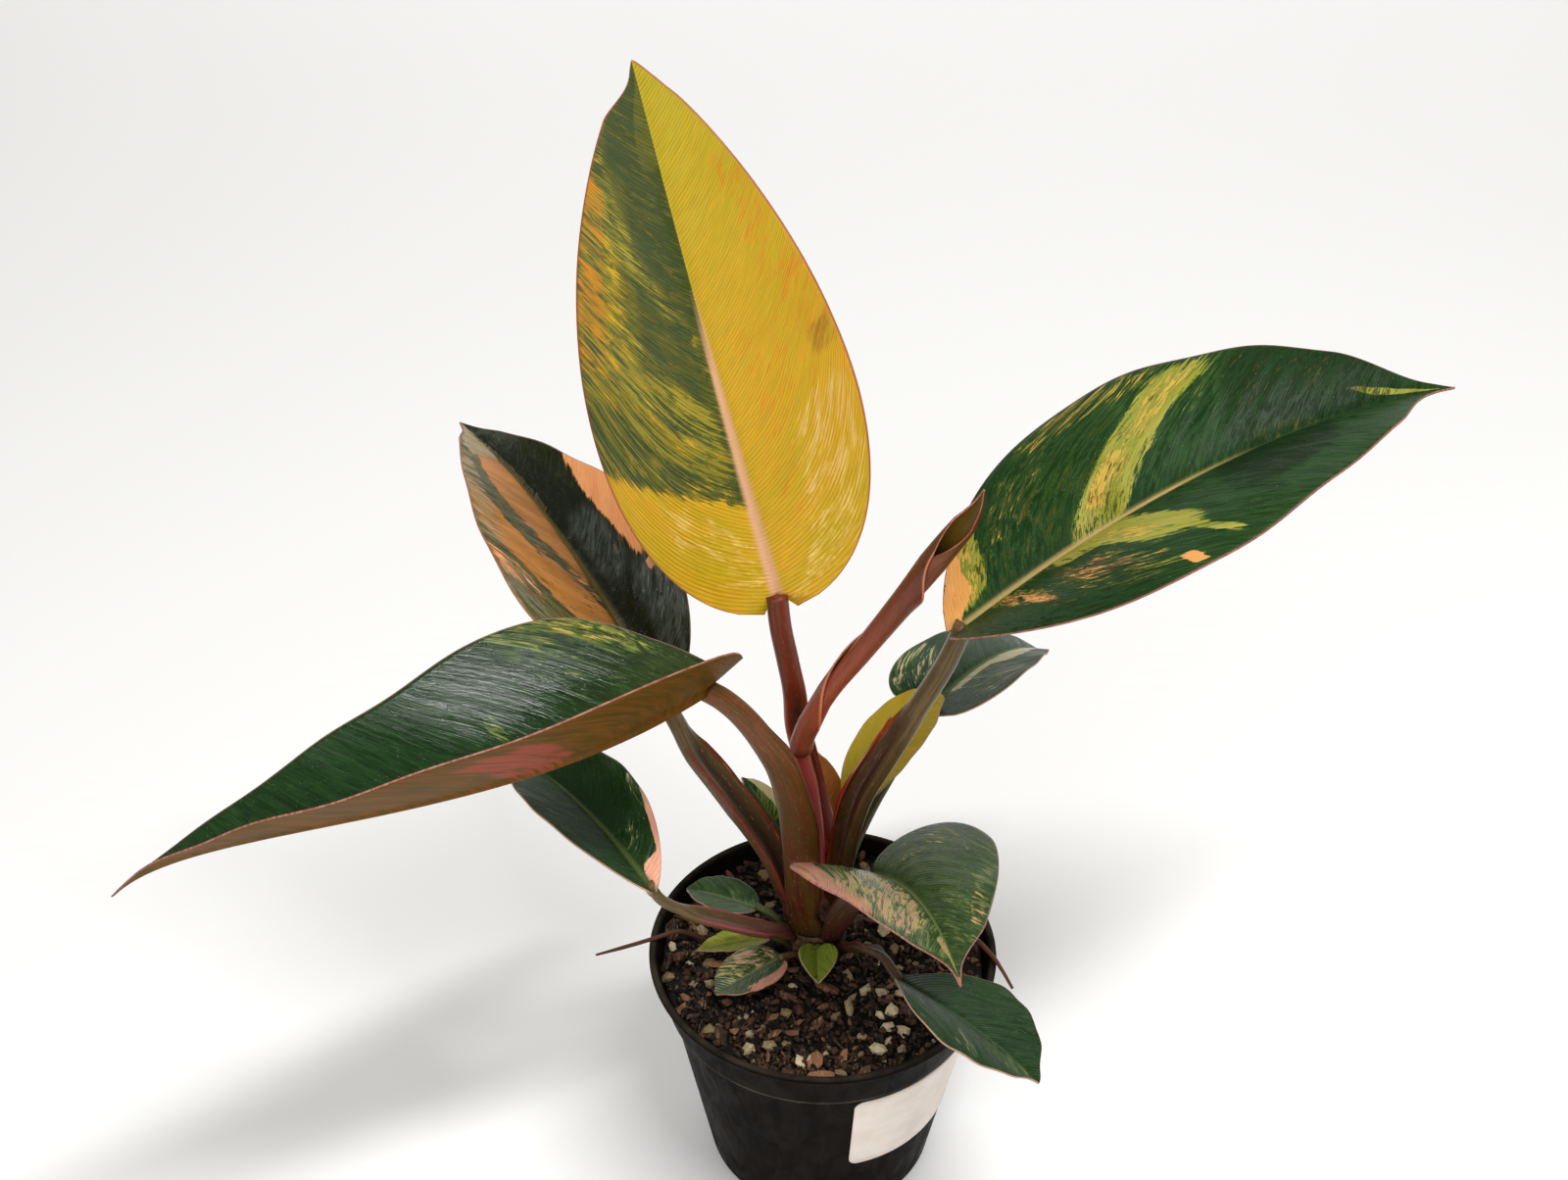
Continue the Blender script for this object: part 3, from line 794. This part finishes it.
# u runs from the free edge inward round the roll, w from its heel to its tip
def makeRoll(leaf, outside, inside, edge):
    bm, x, y = startSheet(leaf["cols"], leaf["rows"])
    u, w = (x + 1) / 2, (y + 1) / 2
    short = 1 - leaf["lipDrop"] * np.clip(1 - u / 0.5, 0, 1) ** 1.3
    share = leaf["rollFrom"] + (1 - leaf["rollFrom"]) * w * short
    place, side, front, length = routeFrames(leaf, share)
    width, thick = routeForm(leaf, share)[:2]
    loose = np.clip((share - leaf["openFrom"]) / (leaf["openTo"] - leaf["openFrom"]), 0, 1)
    loose = loose * loose * (3 - 2 * loose)
    turns = leaf["turns"] + (leaf["turnsOpen"] - leaf["turns"]) * loose
    a = math.radians(leaf["edgeAt"]) - leaf["wind"] * (1 - w) * (1 - loose) + u * turns * 2 * math.pi
    tight = 1 - (0.36 - 0.3 * loose) * u
    heel = 1 - 0.55 * np.clip(1 - w / 0.03, 0, 1) ** 2 + 0.12 * np.exp(-((w - 0.035) / 0.03) ** 2)
    lip = heel * (1 + 0.09 * np.exp(-(u / 0.05) ** 2) + 0.05 * np.sin(9 * w + 7 * u) * loose)
    out = width / 2 * tight * lip * np.cos(a)
    rise = thick / 2 * tight * lip * np.sin(a)
    points = place + side * out[:, None] + front * rise[:, None]
    tone = (np.exp(-(u / 0.03) ** 2), w, loose)
    bendSheet(bm, points, (w * length * 0.65, u * 40, 0 * u), 0.005, tone=tone)
    bm.normal_update()
    probe = np.argmin(np.abs(w - 0.3) + np.abs(u - 0.2))
    spot = Vector(points[probe])
    nearest = min(bm.faces, key=lambda face: (face.calc_center_median() - spot).length)
    if nearest.normal.dot(nearest.calc_center_median() - Vector(place[probe])) < 0:
        bmesh.ops.reverse_faces(bm, faces=bm.faces)
    roll = finishPiece("newLeafRoll", bm, [outside, inside, edge], ["new_leaf"])
    addWall(roll, 0.45)


rollOutside = stalkSkin("newLeafRose", 67, "#a44c34", "#c8764a", "#8a4a28", "#c87450", roughness=0.3)
rollInside = stalkSkin("newLeafOlive", 71, "#94701a", "#b8922a", "#a88e30", "#c0622c")
rollEdge = leafEdge("newLeafMargin", "#a84e34")
makeRoll(newLeaf, rollOutside, rollInside, rollEdge)
shortStalk = dict(
    route=newLeaf["route"][:6], opens=newLeaf["opens"], foot=(6, 5), flush=0.5,
    form=((0, 3.4, 3.2, 0), (0.4, 5, 4, 0), (0.8, 5.6, 4.8, 0), (0.86, 7.2, 6, 0), (1, 5, 4.4, 0)))
stalkCrimson = stalkSkin("newLeafStalkCrimson", 87, "#a03438", "#aa443c", "#6a2818", "#b85858")
makeStalk("new_leaf", shortStalk, stalkCrimson)
print("new leaf made")


# crown: the short stem all stalks leave from, ringed by the scars of old leaves

crownLook = dict(
    centre=(-2, 9), ringStep=3.1, ringDeep=0.35, steps=64, rounding=0.8,
    buried=63,          # below this height the surface stays plain
    profile=((0, 62), (8.6, 62), (9, 74), (9.6, 77), (8.8, 82), (7.6, 88), (5.4, 92), (2.4, 94), (0, 94.2)))


def spinProfile(profile, steps, centre=(0, 0), rounding=0.0, segments=3):
    bm = bmesh.new()
    verts = [bm.verts.new((centre[0] + r, centre[1], z)) for r, z in profile]
    for a, b in zip(verts, verts[1:]):
        bm.edges.new((a, b))
    if rounding:
        bmesh.ops.bevel(bm, geom=[v for v in verts if v.co.x > centre[0] + 0.01], offset=rounding,
                        segments=segments, profile=0.5, affect="VERTICES")
    bmesh.ops.spin(bm, geom=list(bm.verts) + list(bm.edges), cent=(centre[0], centre[1], 0), axis=(0, 0, 1),
                   angle=2 * math.pi, steps=steps, use_merge=True, use_duplicate=False)
    bmesh.ops.remove_doubles(bm, verts=bm.verts, dist=0.002)
    bmesh.ops.recalc_face_normals(bm, faces=bm.faces)
    return bm


# Stem bark of the crown: dull brown, fibrous, dry where old sheaths have torn away
def crownBark():
    material, tree, shader = startMaterial("crownBark", 0.7)
    spot = placeMm(tree)
    fibre = sizedNoise(tree, spot, (0.8, 0.8, 7), shift=4)
    patch = sizedNoise(tree, spot, (4, 4, 3), detail=2)
    colour = coat(tree, "#2c1a0f", "#5b3a22", fibre, 0.35, 0.65)
    colour = coat(tree, colour, "#6a4a2c", patch, 0.5, 0.7, 0.7)
    finishMaterial(tree, shader, colour, fibre, 0.6, 0.5)
    return material


# Edges whose ends differ in height by more than the climb
def steepEdges(bm, climb):
    return [edge for edge in bm.edges if abs(edge.verts[0].co.z - edge.verts[1].co.z) > climb]


crownMesh = spinProfile(crownLook["profile"], crownLook["steps"], crownLook["centre"],
                        crownLook["rounding"])
bmesh.ops.subdivide_edges(crownMesh, edges=steepEdges(crownMesh, 1.5), cuts=5, use_grid_fill=True)
for v in crownMesh.verts:
    out = Vector((v.co.x - crownLook["centre"][0], v.co.y - crownLook["centre"][1], 0))
    if out.length > 0.5 and v.co.z > crownLook["buried"]:
        ring = math.sin(2 * math.pi * (v.co.z + 0.8 * noise.noise(v.co * 0.15)) / crownLook["ringStep"])
        v.co += out.normalized() * (crownLook["ringDeep"] * ring + 0.5 * noise.noise(v.co * 0.4))
finishPiece("crownStem", crownMesh, [crownBark()], ["crown"])
print("crown made")


# pot: thin black nursery pot with a stepped collar and a rolled lip

potLook = dict(
    outer=((0, 0), (35.2, 0), (36.4, 1.2), (48, 67), (49.4, 67.2), (52, 80.2), (53.7, 80.6), (54, 81.4),
        (54, 82.4), (53.2, 83)),
    inner=((52.4, 83), (51.3, 81.6), (48.7, 68.4), (46.9, 66.4), (35.1, 1.8), (0, 1.8)),
    collar=67.7, steps=160, rounding=0.25, drains=6, drainRadius=3.5, drainRing=24)


# Black polypropylene, moulded and matt: faint scuffs, fine scratches, worn paler at the collar and the lip.
# Its fine grain is drawn coarser than real, so that it shows
def potPlastic():
    material, tree, shader = startMaterial("potPlasticBlack", 0.45, 0.012, 1.49)
    spot = placeMm(tree)
    scuff = sizedNoise(tree, spot, (6, 6, 15), detail=4, distortion=0.8, shift=3)
    cloud = sizedNoise(tree, spot, (16, 16, 22), shift=8)
    fine = sizedNoise(tree, spot, (0.35, 0.35, 0.35), detail=2)
    scratch = sizedNoise(tree, spot, (0.5, 0.5, 11), detail=2, distortion=0.8, shift=15)
    colour = coat(tree, "#0d0906", "#17110c", cloud, 0.35, 0.7)
    colour = coat(tree, colour, "#1f1a15", scuff, 0.56, 0.78, 0.14)
    colour = coat(tree, colour, "#332d26", scratch, 0.68, 0.76, 0.25)
    level = addNode(tree, "SeparateXYZ", spot)["Z"]
    fromCollar = addNode(tree, "Math", level, potLook["collar"], operation="SUBTRACT")
    fromCollar = addNode(tree, "Math", fromCollar, operation="ABSOLUTE")
    atCollar = addNode(tree, "MapRange", fromCollar, 0.1, 0.7, 0.8, 0.0, **smoothStep)
    atLip = addNode(tree, "MapRange", level, 82.0, 82.9, 0.0, 0.35, **smoothStep)
    worn = addNode(tree, "Math", atCollar, atLip, operation="MAXIMUM")
    patchy = addNode(tree, "MapRange", cloud, 0.35, 0.6, 0.3, 0.9, **smoothStep)
    worn = addNode(tree, "Math", worn, patchy, **multiplied)
    colour = addNode(tree, "Mix", worn, colour, "#574e44", **inColour)
    finishMaterial(tree, shader, colour, fine, 0.25, 0.1)
    uneven = addNode(tree, "MapRange", scuff, 0.3, 0.75, 0.38, 0.58, **smoothStep)
    tree.links.new(uneven, shader.inputs["Roughness"])
    return material


def cutAway(piece, bm):
    cutter = meshObject("cutter", bm)
    hole = piece.modifiers.new("hole", "BOOLEAN")
    hole.operation = "DIFFERENCE"
    hole.solver = "EXACT"
    hole.object = cutter
    bpy.context.view_layer.update()
    cut = bpy.data.meshes.new_from_object(piece.evaluated_get(bpy.context.evaluated_depsgraph_get()))
    piece.modifiers.remove(hole)
    piece.data = cut
    bpy.data.objects.remove(cutter)


potProfile = potLook["outer"] + potLook["inner"]
potMesh = spinProfile(potProfile, potLook["steps"], rounding=potLook["rounding"], segments=2)
pot = finishPiece("nurseryPot", potMesh, [potPlastic()], ["pot"])
drains = bmesh.new()
for k in range(potLook["drains"]):
    turn = 2 * math.pi * k / potLook["drains"]
    made = bmesh.ops.create_cone(drains, cap_ends=True, segments=32, radius1=potLook["drainRadius"],
                                 radius2=potLook["drainRadius"], depth=8)
    away = potLook["drainRing"] * Vector((math.cos(turn), math.sin(turn), 0))
    bmesh.ops.translate(drains, verts=made["verts"], vec=away)
cutAway(pot, drains)
print("pot made")


# label: bare sticker with rounded corners, stuck round the front right of the pot

labelLook = dict(fromDeg=-79, toDeg=-8, low=29, high=64.5, corner=3.2, thick=0.3, lift=0.06, cuts=(40, 12))


# Coated paper: off-white, nearly matt, faintly cloudy; its fibres are drawn coarser than real, so they show
def labelPaper():
    material, tree, shader = startMaterial("labelPaperOffWhite", 0.55)
    spot = placeMm(tree)
    fibre = sizedNoise(tree, spot, (0.5, 0.5, 0.7))
    cloud = sizedNoise(tree, spot, (12, 12, 9), detail=2)
    colour = coat(tree, "#e6dad1", "#dccfc3", cloud, 0.35, 0.7)
    colour = coat(tree, colour, "#c9bcae", fibre, 0.55, 0.8, 0.25)
    finishMaterial(tree, shader, colour, fibre, 0.2, 0.1)
    return material


def potRadius(z):
    wall = potLook["outer"][2:4]
    return np.interp(z, [height for radius, height in wall], [radius for radius, height in wall])


labelMesh = bmesh.new()
arc = math.radians(labelLook["toDeg"] - labelLook["fromDeg"])
arc = arc * potRadius((labelLook["low"] + labelLook["high"]) / 2)
tall = labelLook["high"] - labelLook["low"]
corners = [labelMesh.verts.new((x * arc, 0, z * tall)) for x, z in ((0, 0), (1, 0), (1, 1), (0, 1))]
labelMesh.faces.new(corners)
bmesh.ops.bevel(labelMesh, geom=corners, offset=labelLook["corner"], segments=6, profile=0.5,
                affect="VERTICES")
for count, way in zip(labelLook["cuts"], (Vector((arc, 0, 0)), Vector((0, 0, tall)))):
    for k in range(1, count):
        whole = list(labelMesh.verts) + list(labelMesh.edges) + list(labelMesh.faces)
        bmesh.ops.bisect_plane(labelMesh, geom=whole, plane_co=way * k / count, plane_no=way.normalized())
for v in labelMesh.verts:
    turn = math.radians(labelLook["fromDeg"] + (labelLook["toDeg"] - labelLook["fromDeg"]) * v.co.x / arc)
    height = labelLook["low"] + v.co.z
    radius = float(potRadius(height)) + labelLook["lift"] + labelLook["thick"]
    v.co = Vector((radius * math.cos(turn), radius * math.sin(turn), height))
label = finishPiece("bareLabel", labelMesh, [labelPaper()], ["label"])
addWall(label, labelLook["thick"])
print("label made")


# potting mix: dark peat filling the pot, strewn with bark, perlite, crumbs and fibres by a seeded rule

soilLook = dict(
    top=75, heap=1.8, rim=49.8, rings=42, steps=144,
    wall=((48.4, 69), (46.2, 65.8), (34.6, 2.1), (0, 2.1)),  # down along the pot and in along its floor
    reach=48.8, crownClear=9.5,                              # where bits may lie
    seed=21, tries=60, bark=260, bigBark=12, perlite=130, crumbs=3300, fibres=110, twigs=14)


def soilTop(x, y):
    heaped = soilLook["heap"] * (math.hypot(x, y) / soilLook["reach"]) ** 4
    waves = 0.8 * math.sin(x / 7.0 + 1) * math.cos(y / 8.0) + 0.5 * math.sin((x - y) / 5.0)
    return soilLook["top"] + heaped + waves


# Damp potting mix: loose and dull, nearly black in its gaps, each bit lighter or darker by its own tone
def pottingMix(name, dark, light, pale, roughness=0.85, grainSize=1.2):
    material, tree, shader = startMaterial(name, roughness, 0.3)
    spot = placeMm(tree)
    crumb = sizedNoise(tree, spot, (grainSize,) * 3, detail=4)
    streaks = sizedNoise(tree, spot, (grainSize * 0.5, grainSize * 2, grainSize), shift=6)
    own = readTone(tree, "ownTone")
    lightness = breakUp(tree, own[0], crumb, 0.9)
    colour = coat(tree, dark, light, lightness, 0.05, 0.95)
    streaked = addNode(tree, "Math", own[1], 0.7, **multiplied)
    colour = coat(tree, colour, pale, streaks, 0.5, 0.7, streaked)
    finishMaterial(tree, shader, colour, crumb, 0.8, 0.6)
    return material


mixSkins = dict(
    darkBark=pottingMix("barkChipDark", "#170d08", "#76503a", "#ac8862", 0.75, 1.6),
    perlite=pottingMix("perliteCream", "#7d6a48", "#dccaa6", "#9c8050", 0.8, 0.9),
    peat=pottingMix("peatDamp", "#070402", "#47301f", "#72563c"),
    fibre=pottingMix("coirFibre", "#2c1c10", "#6f4f30", "#8a6a46", 0.75, 0.8),
    paleBark=pottingMix("barkChipTan", "#5a3824", "#8f6444", "#b08c66", 0.7, 1.6))

shares = [(i / soilLook["rings"]) ** 0.95 for i in range(soilLook["rings"] + 1)]
soilProfile = [(soilLook["rim"] * share, soilLook["top"]) for share in shares] + list(soilLook["wall"])
soilMesh = spinProfile(soilProfile, soilLook["steps"])
for v in soilMesh.verts:
    if v.co.z > soilLook["top"] - 1:
        rough = noise.fractal(v.co * 0.22, 0.8, 2.0, 4)
        v.co.z = soilTop(v.co.x, v.co.y) + 0.7 * rough
finishPiece("soilBody", soilMesh, [mixSkins["peat"]], ["soil"])

rule = random.Random(soilLook["seed"])
strewn = bmesh.new()
places = []


# A spot clear of the crown, and where asked clear of the bits laid before it as far as the tries allow
def strewSpot(size, clear):
    for attempt in range(soilLook["tries"]):
        r = math.sqrt(rule.random()) * soilLook["reach"]
        turn = rule.uniform(0, 2 * math.pi)
        x, y = r * math.cos(turn), r * math.sin(turn)
        fromCrown = math.hypot(x - crownLook["centre"][0], y - crownLook["centre"][1])
        if fromCrown < soilLook["crownClear"] + size * 0.5:
            continue
        if not clear or all(math.hypot(x - px, y - py) > (size + ps) * 0.5 for px, py, ps in places):
            break
    if clear:
        places.append((x, y, size))
    return x, y


# One bit or more of the mix, made by itself and then added to the strewn mesh
def newBit():
    bit = bmesh.new()
    bit.verts.layers.float_color.new("ownTone")
    return bit


def settle(bit, verts, kind, x, y, lift, tip=0.5):
    turned = Matrix.Rotation(rule.uniform(0, 2 * math.pi), 3, "Z")
    turned = turned @ Matrix.Rotation(rule.uniform(-tip, tip), 3, "Y")
    ownTone = (rule.random() ** 1.8, rule.random(), 0, 1)
    layer = bit.verts.layers.float_color["ownTone"]
    for v in verts:
        v.co = turned @ v.co + Vector((x, y, soilTop(x, y) + lift))
        v[layer] = ownTone
    for face in {f for v in verts for f in v.link_faces}:
        face.material_index = list(mixSkins).index(kind)


def strew(bit):
    mesh = bpy.data.meshes.new("bit")
    bit.to_mesh(mesh)
    bit.free()
    strewn.from_mesh(mesh)
    bpy.data.meshes.remove(mesh)


# An uneven shard: a small ball squeezed to size, its corners pulled in and out
def shard(bit, radius, shape, uneven, divisions=1):
    made = bmesh.ops.create_icosphere(bit, subdivisions=divisions, radius=radius)["verts"]
    shift = Vector((rule.random(), rule.random(), rule.random())) * 50
    for v in made:
        pull = rule.uniform(1 - uneven, 1 + uneven) + 0.3 * noise.noise(v.co * (1.6 / radius) + shift)
        v.co = Vector((v.co.x * shape[0], v.co.y * shape[1], v.co.z * shape[2])) * pull
    return made


for k in range(soilLook["bark"]):
    big = k < soilLook["bigBark"]
    size = rule.uniform(4.5, 8) if big else 2.4 + 5.0 * rule.random() ** 2
    x, y = strewSpot(size * 0.8, True)
    bit = newBit()
    shape = (1.1, rule.uniform(0.35, 0.7), rule.uniform(0.2, 0.4))
    made = shard(bit, size / 2, shape, 0.22, 2 if big else 1)
    settle(bit, made, "paleBark" if big else "darkBark", x, y, size * 0.12 + rule.uniform(0, 0.8), 0.6)
    strew(bit)
for k in range(soilLook["perlite"]):
    size = 1.2 + 3.8 * rule.random() ** 1.3
    x, y = strewSpot(size, True)
    bit = newBit()
    made = shard(bit, size / 2, (1.15, rule.uniform(0.6, 1), rule.uniform(0.6, 0.95)), 0.32)
    settle(bit, made, "perlite", x, y, size * 0.25)
    strew(bit)
bit = newBit()
for k in range(soilLook["crumbs"]):
    size = rule.uniform(0.8, 2.8)
    x, y = strewSpot(size, False)
    made = shard(bit, size / 2, (1.1, rule.uniform(0.5, 1), rule.uniform(0.4, 0.9)), 0.25)
    settle(bit, made, "peat", x, y, rule.uniform(0, 1.5), 1.0)
    if k % 60 == 59:
        strew(bit)
        bit = newBit()
strew(bit)
for k in range(soilLook["fibres"]):
    x, y = strewSpot(2, False)
    twig = k < soilLook["twigs"]
    length = rule.uniform(6, 14) if twig else rule.uniform(3, 8)
    bend = rule.uniform(-0.1, 0.1) * (0.3 if twig else 1)
    bit = newBit()
    bmesh.ops.create_cone(bit, cap_ends=True, segments=5, radius1=0.5 if twig else 0.2,
                          radius2=0.3 if twig else 0.12, depth=length)
    bmesh.ops.subdivide_edges(bit, edges=steepEdges(bit, 1), cuts=4)
    for v in bit.verts:
        arch = v.co.z ** 2
        v.co = Vector((v.co.z, v.co.y + bend * arch, v.co.x + 0.3 * abs(bend) * arch))
    settle(bit, list(bit.verts), "fibre", x, y, 1.2, 0.12)
    strew(bit)
finishPiece("soilStrewn", strewn, mixSkins.values(), ["soil"], smooth=False, recalc=True)
print("soil made")


# roots: two aerial roots that have come over the rim

leftRoot = dict(
    route=((-34, 9, 71.5), (-38, 7.6, 78), (-45, 5, 83.6), (-52.2, 1.6, 84.2), (-60, -2, 84.5),
        (-70, -6, 84.6)),
    opens=(0.2, 1, 0.2), form=((0, 1.5, 1.5, 0), (0.5, 1.3, 1.4, 0), (0.8, 1.4, 1.2, 0), (1, 0.7, 0.7, 0)))
rightRoot = dict(
    route=((38, 10, 71.5), (42, 7, 78), (46.4, 3, 83.6), (51.8, -5.5, 84.4), (54.6, -12, 84.4),
        (57.6, -17, 81.5)),
    opens=(0.6, -1, 0.2), form=((0, 2, 2, 0), (0.5, 1.7, 1.8, 0), (1, 0.9, 0.9, 0)))
rootSkin = stalkSkin("rootSkinBrown", 91, "#3c241a", "#5a3426", "#4a2c1c", "#5a3424", roughness=0.55)
for node, spec in (("root_left", leftRoot), ("root_right", rightRoot)):
    makeStalk(node, spec, rootSkin, sides=14, spacing=0.6, ending="Skin")
print("roots made")


# pale floor, soft studio light, camera

floorMesh = bmesh.new()
bmesh.ops.create_grid(floorMesh, x_segments=1, y_segments=1, size=4000)
floor = meshObject("floor", floorMesh)
floorPaint, _, floorShader = startMaterial("floorPalePlain", 0.9)
floorShader.inputs["Base Color"].default_value = linear("#fbfbfa")
floor.data.materials.append(floorPaint)

world = bpy.data.worlds.new("softRoom")
scene.world = world
world.use_nodes = True
air = world.node_tree.nodes["Background"]
air.inputs["Color"].default_value = linear("#fffdf9")
air.inputs["Strength"].default_value = 0.32

lampList = (  # name, place, width and height in metres, watts, turn in degrees
    ("lampAbove", (0.37, -0.32, 1.41), (0.8, 0.12), 13, -20),
    ("lampFront", (-0.5, -1.3, 0.9), (1.4, 1.4), 12.5, 0),
    ("lampBack", (0.1, 1.5, 0.8), (2.6, 1.4), 11, 0))
litSpot = Vector((0, 0, 0.13))
for name, place, size, power, spin in lampList:
    lamp = bpy.data.lights.new(name, "AREA")
    lamp.shape = "RECTANGLE"
    lamp.size, lamp.size_y = size
    lamp.energy = power
    body = bpy.data.objects.new(name, lamp)
    body.location = place
    aim = (litSpot - Vector(place)).to_track_quat("-Z", "Y")
    body.rotation_euler = (aim @ Quaternion((0, 0, 1), math.radians(spin))).to_euler()
    scene.collection.objects.link(body)

lens = bpy.data.cameras.new("camera")
lens.lens = 42.75
lens.sensor_width = 36
camera = bpy.data.objects.new("camera", lens)
camera.location = (-0.012, -0.414, 0.504)
camera.rotation_euler = (math.radians(55.3), 0, 0)
scene.collection.objects.link(camera)
scene.camera = camera
